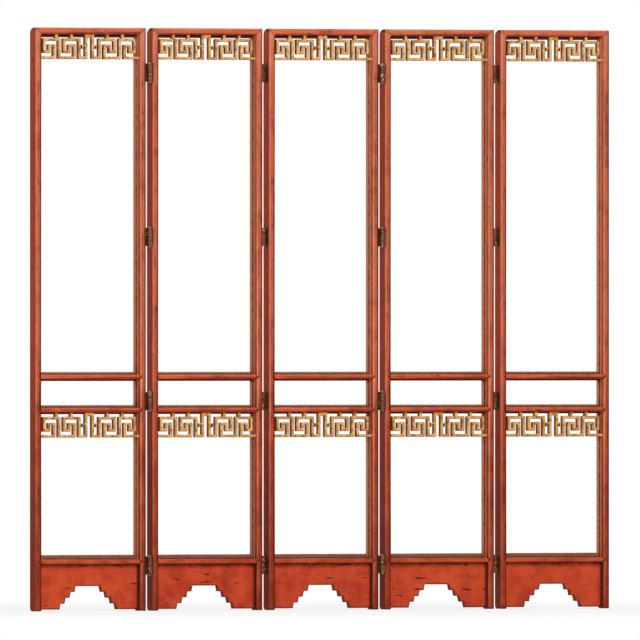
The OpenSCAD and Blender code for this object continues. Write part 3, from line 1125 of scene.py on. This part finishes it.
@dataclass
class KeyFret(SoftenedPiece):
    """A carved fret: its outline's corners are eased and its bars are rounded over, nearly to beads.

    The two small hooks beside the middle are finer, so they are cut off, rounded on their own and put back.
    """

    finish: Finish = FRET_GILDING
    ending: str = "gilded"
    corner_radius: float = 2.8 * MM
    inner_radius: float = 1.2 * MM
    corner_segments: int = 2
    bar_radius: float = 3.4 * MM
    back_radius: float = 1.5 * MM
    bar_segments: int = 4
    zone: float = 1.0 * MM
    seat: float = 4.0 * MM
    sharp_angle: float = 60.0
    hook_corner_radius: float = 1.8 * MM
    hook_bar_radius: float = 2.0 * MM
    hook_root: float = 16.5 * MM
    hook_tip: float = 27.2 * MM
    hook_foot: float = 31.5 * MM
    hook_top: float = 45.5 * MM
    hook_tail: float = 3.0 * MM
    hook_setback: float = 0.4 * MM

    @property
    def middle(self) -> float:
        """Its middle across the screen."""
        low, high = self.box
        return (low.x + high.x) / 2

    def in_hook(self, place: Vector) -> bool:
        """Whether a place lies in one of the hooks."""
        across, up = abs(place.x - self.middle), place.z - self.box[0].z
        return self.hook_root + SLACK < across < self.hook_tip and self.hook_foot < up < self.hook_top

    def take_hooks(self, mesh: BMesh) -> BMesh:
        """Cuts the hooks off where they leave their uprights and closes both cuts.

        Args:
            mesh: the fret, which loses its hooks.

        Returns:
            The hooks, each with a tail that reaches back into its upright.
        """
        for root in (-self.hook_root, self.hook_root):
            whole = [*mesh.verts, *mesh.edges, *mesh.faces]
            place = (self.middle + root, 0.0, 0.0)
            bmesh.ops.bisect_plane(mesh, geom=whole, dist=10 * HAIR, plane_co=place, plane_no=RIGHTWARD)
        hooks = mesh.copy()
        for part, keeps_hooks in ((mesh, False), (hooks, True)):
            lost = [face for face in part.faces if self.in_hook(face.calc_center_median()) != keeps_hooks]
            bmesh.ops.delete(part, geom=lost, context="FACES")
            bmesh.ops.holes_fill(part, edges=[edge for edge in part.edges if edge.is_boundary], sides=0)
            flatten(part)
            bmesh.ops.recalc_face_normals(part, faces=part.faces)
        for vert in hooks.verts:
            off_middle = vert.co.x - self.middle
            if abs(off_middle) < self.hook_root + SLACK:
                vert.co.x -= math.copysign(self.hook_tail, off_middle)
            vert.co.y = max(vert.co.y, self.box[0].y + self.hook_setback)
        return hooks

    def ease(self, mesh: BMesh, tails: float, outer_radius: float, bar_radius: float) -> None:
        """Eases the outline's corners, then rounds the bars over to both faces.

        Args:
            mesh: the fret or its hooks.
            tails: how far from the middle the hooks' tails reach, which stay as they are.
            outer_radius: radius of the outline's outer corners.
            bar_radius: radius of the bars' front arrises.
        """
        low, high = self.box
        held = (
            (Axis.X, low.x, low.x + self.seat), (Axis.X, high.x - self.seat, high.x),
            (Axis.Z, high.z - self.seat, high.z), (Axis.X, self.middle - tails, self.middle + tails),
        )

        def sharp_edges(is_corner: bool) -> list[BMEdge]:
            """Lists the sharp edges that are clear of the stubs and tails.

            Args:
                is_corner: whether to list the outline's corners, and not the faces' rims.

            Returns:
                The edges.
            """
            return [
                edge for edge in mesh.edges
                if edge.is_manifold and edge.calc_face_angle() > math.radians(self.sharp_angle)
                and runs_along(edge, Axis.Y) == is_corner and not any(spans(edge, *zone) for zone in held)
            ]

        for convex, radius in ((True, outer_radius), (False, self.inner_radius)):
            corners = [edge for edge in sharp_edges(True) if edge.is_convex == convex]
            round_over(mesh, corners, radius, self.corner_segments)
        for near, far, radius in (
            (low.y, low.y + self.zone, bar_radius), (high.y - self.zone, high.y, self.back_radius),
        ):
            rim = [edge for edge in sharp_edges(False) if edge.is_convex and spans(edge, Axis.Y, near, far)]
            round_over(mesh, rim, radius, self.bar_segments)

    def soften(self, mesh: BMesh) -> None:
        """Rounds the bars over, with the finer hooks on their own.

        Args:
            mesh: the copy.
        """
        hooks = self.take_hooks(mesh)
        self.ease(mesh, 0.0, self.corner_radius, self.bar_radius)
        self.ease(hooks, self.hook_root, self.hook_corner_radius, self.hook_bar_radius)
        join(mesh, hooks)


# ---- Hinges ----


@dataclass
class HingeLeaves(SoftenedPiece):
    """The four leaves on one side of a panel edge: knuckles and plates with eased edges."""

    axis: tuple[float, float] = field(kw_only=True)
    finish: Finish = LEAF_BRONZE
    ending: str = "aged"
    knuckle_radius: float = 6.5 * MM
    knuckle_ease: float = 0.45 * MM
    plate_ease: float = 0.3 * MM
    segments: int = 2
    plate_angle: float = 80.0
    shortest: float = 5.0 * MM

    def reaches(self, edge: BMEdge) -> list[float]:
        """How far both ends of an edge are from the pins' axis, which is given as X and Y."""
        x, y = self.axis
        return [math.hypot(vert.co.x - x, vert.co.y - y) for vert in edge.verts]

    def soften(self, mesh: BMesh) -> None:
        """Eases the knuckles' ends and the plates' long edges.

        Args:
            mesh: the copy.
        """
        rings = [
            edge for edge in mesh.edges
            if is_arris(edge) and not runs_along(edge, Axis.Z)
            and all(abs(reach - self.knuckle_radius) < SLACK for reach in self.reaches(edge))
        ]
        round_over(mesh, rings, self.knuckle_ease, self.segments)
        plates = [
            edge for edge in mesh.edges
            if is_arris(edge, self.plate_angle) and edge.calc_length() > self.shortest
            and min(self.reaches(edge)) > 2 * self.knuckle_radius
        ]
        round_over(mesh, plates, self.plate_ease, self.segments)


@dataclass
class HingePins(SmallParts):
    """The four pins of a panel edge, each turned with a finial at both ends.

    The profile gives the finial's radii and heights in millimetres, from its tip down to its seat.
    """

    finish: Finish = PIN_BRONZE
    ending: str = "turned"
    pin_radius: float = 3.0 * MM
    finial_height: float = 4.0 * MM
    profile: tuple[tuple[float, float], ...] = (
        (0.0, 4.0), (0.9, 3.92), (1.6, 3.65), (2.0, 3.2), (2.05, 2.75), (1.75, 2.4), (1.9, 2.15), (3.0, 1.98),
        (3.9, 1.85), (4.45, 1.5), (4.6, 1.05), (4.5, 0.6), (4.15, 0.25), (4.15, 0.0),
    )
    steps: int = 28

    def place(self, mesh: BMesh, low: Vector, high: Vector, plain: list[BMVert]) -> None:
        """Turns one pin.

        Args:
            mesh: where it goes.
            low: the lowest corner of its plain one.
            high: the highest corner.
            plain: its plain one, which is not used.
        """
        foot = Vector(((low.x + high.x) / 2, (low.y + high.y) / 2, low.z))
        length = high.z - low.z
        seat = length - self.finial_height
        upper = [(radius * MM, seat + height * MM) for radius, height in self.profile]
        upper.append((self.pin_radius, seat))
        lower = [(radius, length - height) for radius, height in reversed(upper)]
        verts = [mesh.verts.new(foot + Vector((radius, 0.0, height))) for radius, height in upper + lower]
        edges = [mesh.edges.new(pair) for pair in zip(verts, verts[1:])]
        bmesh.ops.spin(
            mesh, geom=verts + edges, cent=foot, axis=UPWARD, dvec=NOWHERE,
            angle=2 * math.pi, steps=self.steps, use_merge=True, use_duplicate=False,
        )

    def make(self) -> BMesh:
        """Turns every pin, and closes their tips and seams.

        Returns:
            One mesh with all of them.
        """
        mesh = super().make()
        bmesh.ops.remove_doubles(mesh, verts=mesh.verts, dist=HAIR)
        bmesh.ops.recalc_face_normals(mesh, faces=mesh.faces)
        return mesh


def is_flush(item: BMVert | BMEdge | BMFace) -> bool:
    """Whether a vertex, edge or face lies flat at a height of 0."""
    verts = [item] if isinstance(item, BMVert) else item.verts
    return all(abs(vert.co.z) < HAIR for vert in verts)


def only(kind: type, items: Iterable) -> list:
    """Picks the items of one kind from what an operator made."""
    return [item for item in items if isinstance(item, kind)]


@dataclass
class HingeScrews(SmallParts):
    """A panel's hinge screws: slotted countersunk heads on plain shanks, left as they were last driven."""

    finish: Finish = SCREW_BRONZE
    ending: str = "slotted"
    head_radius: float = 3.5 * MM
    head_height: float = 2.2 * MM
    neck_radius: float = 3.0 * MM
    shank_radius: float = 1.72 * MM
    slot_width: float = 0.9 * MM
    slot_depth: float = 0.8 * MM
    segments: int = 28

    @cached_property
    def turns(self) -> random.Random:
        """Where the turn of each screw is drawn from."""
        return random.Random(self.panel)

    def forge(self, length: float) -> BMesh:
        """Makes one screw along Z, with its head's face at a height of 0 and its shank below.

        Args:
            length: its whole length.

        Returns:
            The screw.
        """
        mesh = bmesh.new()
        bmesh.ops.create_circle(mesh, cap_ends=True, segments=self.segments, radius=self.head_radius)
        rim = [edge for edge in mesh.edges if edge.is_boundary]
        narrowing = self.shank_radius / self.head_radius
        for share, drop in ((narrowing, self.head_height), (1.0, length - self.head_height)):
            made = bmesh.ops.extrude_edge_only(mesh, edges=rim)["geom"]
            rim, ring = only(BMEdge, made), only(BMVert, made)
            bmesh.ops.scale(mesh, vec=(share, share, 1.0), verts=ring)
            bmesh.ops.translate(mesh, vec=(0.0, 0.0, -drop), verts=ring)
        bmesh.ops.holes_fill(mesh, edges=rim, sides=0)
        self.cut_slot(mesh)
        bmesh.ops.recalc_face_normals(mesh, faces=mesh.faces)
        return mesh

    def cut_slot(self, mesh: BMesh) -> None:
        """Cuts the slot across a screw's head.

        Args:
            mesh: the screw.
        """
        half = self.slot_width / 2
        for side in (-half, half):
            head = [item for item in (*mesh.verts, *mesh.edges, *mesh.faces) if is_flush(item)]
            bmesh.ops.bisect_plane(mesh, geom=head, dist=HAIR, plane_co=(0.0, side, 0.0), plane_no=BACKWARD)
        strip = [
            face for face in mesh.faces
            if is_flush(face) and all(abs(vert.co.y) < half + 10 * HAIR for vert in face.verts)
        ]
        made = bmesh.ops.extrude_face_region(mesh, geom=strip)["geom"]
        floor = only(BMVert, made)
        bmesh.ops.translate(mesh, vec=(0.0, 0.0, -self.slot_depth), verts=floor)
        bmesh.ops.delete(mesh, geom=[face for face in strip if face.is_valid], context="FACES_ONLY")

    def place(self, mesh: BMesh, low: Vector, high: Vector, plain: list[BMVert]) -> None:
        """Drives one screw, turned its own way.

        Args:
            mesh: where it goes.
            low: the lowest corner of its plain one.
            high: the highest corner.
            plain: its plain one, which tells where its head is.
        """
        centre = (low + high) / 2
        head = [
            vert.co.x for vert in plain
            if math.hypot(vert.co.y - centre.y, vert.co.z - centre.z) > self.neck_radius
        ]
        faces_left = sum(head) / len(head) < centre.x
        seat = Vector((low.x if faces_left else high.x, centre.y, centre.z))
        aim = Matrix.Rotation(math.radians(-90 if faces_left else 90), 4, "Y")
        spin = Matrix.Rotation(self.turns.uniform(0.0, math.pi), 4, "Z")
        screw = self.forge(high.x - low.x)
        bmesh.ops.transform(screw, matrix=Matrix.Translation(seat) @ aim @ spin, verts=screw.verts)
        join(mesh, screw)


# ---- Assemblies ----


@dataclass(frozen=True)
class Assembly:
    """Pieces that belong together. Panels and hinge lines are numbered from the left."""

    number: int

    def pieces(self) -> list[Piece]:
        """Lists the pieces. Each kind of assembly has its own."""
        raise NotImplementedError

    def build(self) -> None:
        """Builds every piece."""
        for piece in self.pieces():
            piece.build()


class Panel(Assembly):
    """One panel with its hinge screws."""

    def pieces(self) -> list[Piece]:
        """Lists the panel's pieces.

        Returns:
            The wooden pieces, and the screws as one piece.
        """
        kinds = {
            Stile: ("left_stile", "right_stile"), Rail: ("top_rail", "mid_rails", "bottom_rail"),
            Apron: ("apron",), KeyFret: ("upper_fret", "lower_fret"), HingeScrews: ("hinge_screws",),
        }
        return [
            kind(f"panel_{self.number}_{part}", self.number)
            for kind, parts in kinds.items() for part in parts
        ]


class HingeLine(Assembly):
    """All hinges between a panel and the next, which has their pins."""

    def pieces(self) -> list[Piece]:
        """Lists the hinges' pieces.

        Returns:
            Both sides' leaves, and the pins.
        """
        left, right = self.number, self.number + 1
        line = f"hinge_{left}{right}"
        pins = HingePins(f"{line}_pins", right)
        low, high = pins.box
        axis = ((low.x + high.x) / 2, (low.y + high.y) / 2)
        return [
            HingeLeaves(f"{line}_left_leaves", left, axis=axis),
            HingeLeaves(f"{line}_right_leaves", right, axis=axis), pins,
        ]


# ---- Studio ----


@dataclass(frozen=True)
class SoftBox:
    """A square lamp that faces the screen's middle, by its angles there, distance, side and power."""

    name: str
    azimuth: float
    elevation: float
    distance: float
    side: float
    watts: float


@dataclass
class Studio:
    """The floor, the lamps, the white surroundings and the camera."""

    azimuth: float = -29.0
    lens: float = 1650.0
    sensor: float = 36.0
    picture_width: float = 2.0166
    aim: Vector = field(default_factory=lambda: Vector((-0.0038, 0.0, 0.913)))
    world_light: float = 0.26
    floor_radius: float = 14.0
    floor_segments: int = 96
    floor_colour: Colour = (0.86, 0.86, 0.86, 1.0)
    floor_white: float = 0.7
    floor_fading: Band = Band(1.4, 3.6, 0.3)
    lamps: tuple[SoftBox, ...] = (
        SoftBox("key", azimuth=-13.0, elevation=30.0, distance=10.0, side=5.0, watts=760.0),
        SoftBox("back fill", azimuth=160.0, elevation=30.0, distance=10.0, side=5.0, watts=600.0),
    )

    def hang(
        self, name: str, data: bpy.types.ID, azimuth: float, elevation: float, distance: float,
    ) -> bpy.types.Object:
        """Places a camera or a lamp round the screen's middle and turns it there.

        Args:
            name: its name.
            data: the camera's or the lamp's own data.
            azimuth: where it stands in degrees, 0 in front and -90 at the left.
            elevation: its angle above the screen's middle.
            distance: metres from the screen's middle.

        Returns:
            The camera or the lamp.
        """
        turn, lift = math.radians(azimuth), math.radians(elevation)
        back = Vector((math.sin(turn) * math.cos(lift), -math.cos(turn) * math.cos(lift), math.sin(lift)))
        hung = bpy.data.objects.new(name, data)
        hung.location = self.aim + back * distance
        hung.rotation_euler = (-back).to_track_quat("-Z", "Y").to_euler()
        bpy.context.scene.collection.objects.link(hung)
        return hung

    def camera(self) -> None:
        """Sets the camera far off to the left, so that all panels are seen at one angle."""
        data = bpy.data.cameras.new("camera")
        data.lens = self.lens
        data.sensor_width = self.sensor
        distance = self.picture_width * self.lens / self.sensor
        data.clip_start = 1.0
        data.clip_end = 2 * distance
        bpy.context.scene.camera = self.hang("camera", data, self.azimuth, 0.0, distance)

    def light(self, lamp: SoftBox) -> None:
        """Hangs one lamp.

        Args:
            lamp: the lamp.
        """
        data = bpy.data.lights.new(lamp.name, "AREA")
        data.shape = "SQUARE"
        data.size = lamp.side
        data.energy = lamp.watts
        self.hang(lamp.name, data, lamp.azimuth, lamp.elevation, lamp.distance)

    def surroundings(self) -> None:
        """Makes a world that is white for what the camera and polished metal see, and a soft grey light."""
        world = bpy.data.worlds.new("studio")
        world.use_nodes = True
        bpy.context.scene.world = world
        graph = Graph(world.node_tree)
        background = next(node for node in graph.tree.nodes if node.type == "BACKGROUND")
        path = graph.add("LightPath").outputs
        seen = graph.maths("MAXIMUM", path["Is Camera Ray"], path["Is Glossy Ray"])
        seen = graph.maths("MAXIMUM", seen, path["Is Transmission Ray"])
        graph.feed(background.inputs["Strength"], graph.plus(self.world_light, seen, 1.0 - self.world_light))
        background.inputs["Color"].default_value = WHITE

    def floor_material(self) -> bpy.types.Material:
        """Makes a pale matt floor that fades into white and can't be seen from below.

        Returns:
            The material.
        """
        material = bpy.data.materials.new("pale floor")
        material.use_nodes = True
        graph = Graph(material.node_tree)
        graph.tree.nodes.clear()
        matte = graph.add("BsdfDiffuse", {"Color": self.floor_colour}).outputs[0]
        glow = graph.add("Emission", {"Color": WHITE, "Strength": 1.0}).outputs[0]
        place = graph.add("TexCoord").outputs["Object"]
        away = graph.add("VectorMath", {0: place}, operation="LENGTH").outputs["Value"]
        white = graph.plus(self.floor_white, graph.rise(away, self.floor_fading))
        share = graph.times(graph.add("LightPath").outputs["Is Camera Ray"], white)
        top = graph.add("MixShader", {0: share, 1: matte, 2: glow}).outputs[0]
        clear = graph.add("BsdfTransparent").outputs[0]
        below = graph.add("NewGeometry").outputs["Backfacing"]
        whole = graph.add("MixShader", {0: below, 1: top, 2: clear}).outputs[0]
        graph.add("OutputMaterial", {"Surface": whole})
        return material

    def floor(self) -> None:
        """Lays a round floor that keeps the screen's shadow."""
        mesh = bmesh.new()
        bmesh.ops.create_circle(mesh, cap_ends=True, segments=self.floor_segments, radius=self.floor_radius)
        data = bpy.data.meshes.new("floor")
        mesh.to_mesh(data)
        mesh.free()
        data.materials.append(self.floor_material())
        floor = bpy.data.objects.new("floor", data)
        bpy.context.scene.collection.objects.link(floor)

    def build(self) -> None:
        """Sets up the whole studio."""
        self.camera()
        self.surroundings()
        self.floor()
        for lamp in self.lamps:
            self.light(lamp)


def main() -> None:
    """Builds the studio and the screen."""
    logging.basicConfig(level=logging.INFO, format="%(message)s")
    bpy.context.scene.view_settings.view_transform = "Standard"
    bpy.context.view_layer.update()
    Studio().build()
    last = sum(name.startswith("panel_") for name in frame["bodies"])
    for number in range(1, last + 1):
        Panel(number).build()
    for number in range(1, last):
        HingeLine(number).build()


if __name__ == "__main__":
    main()
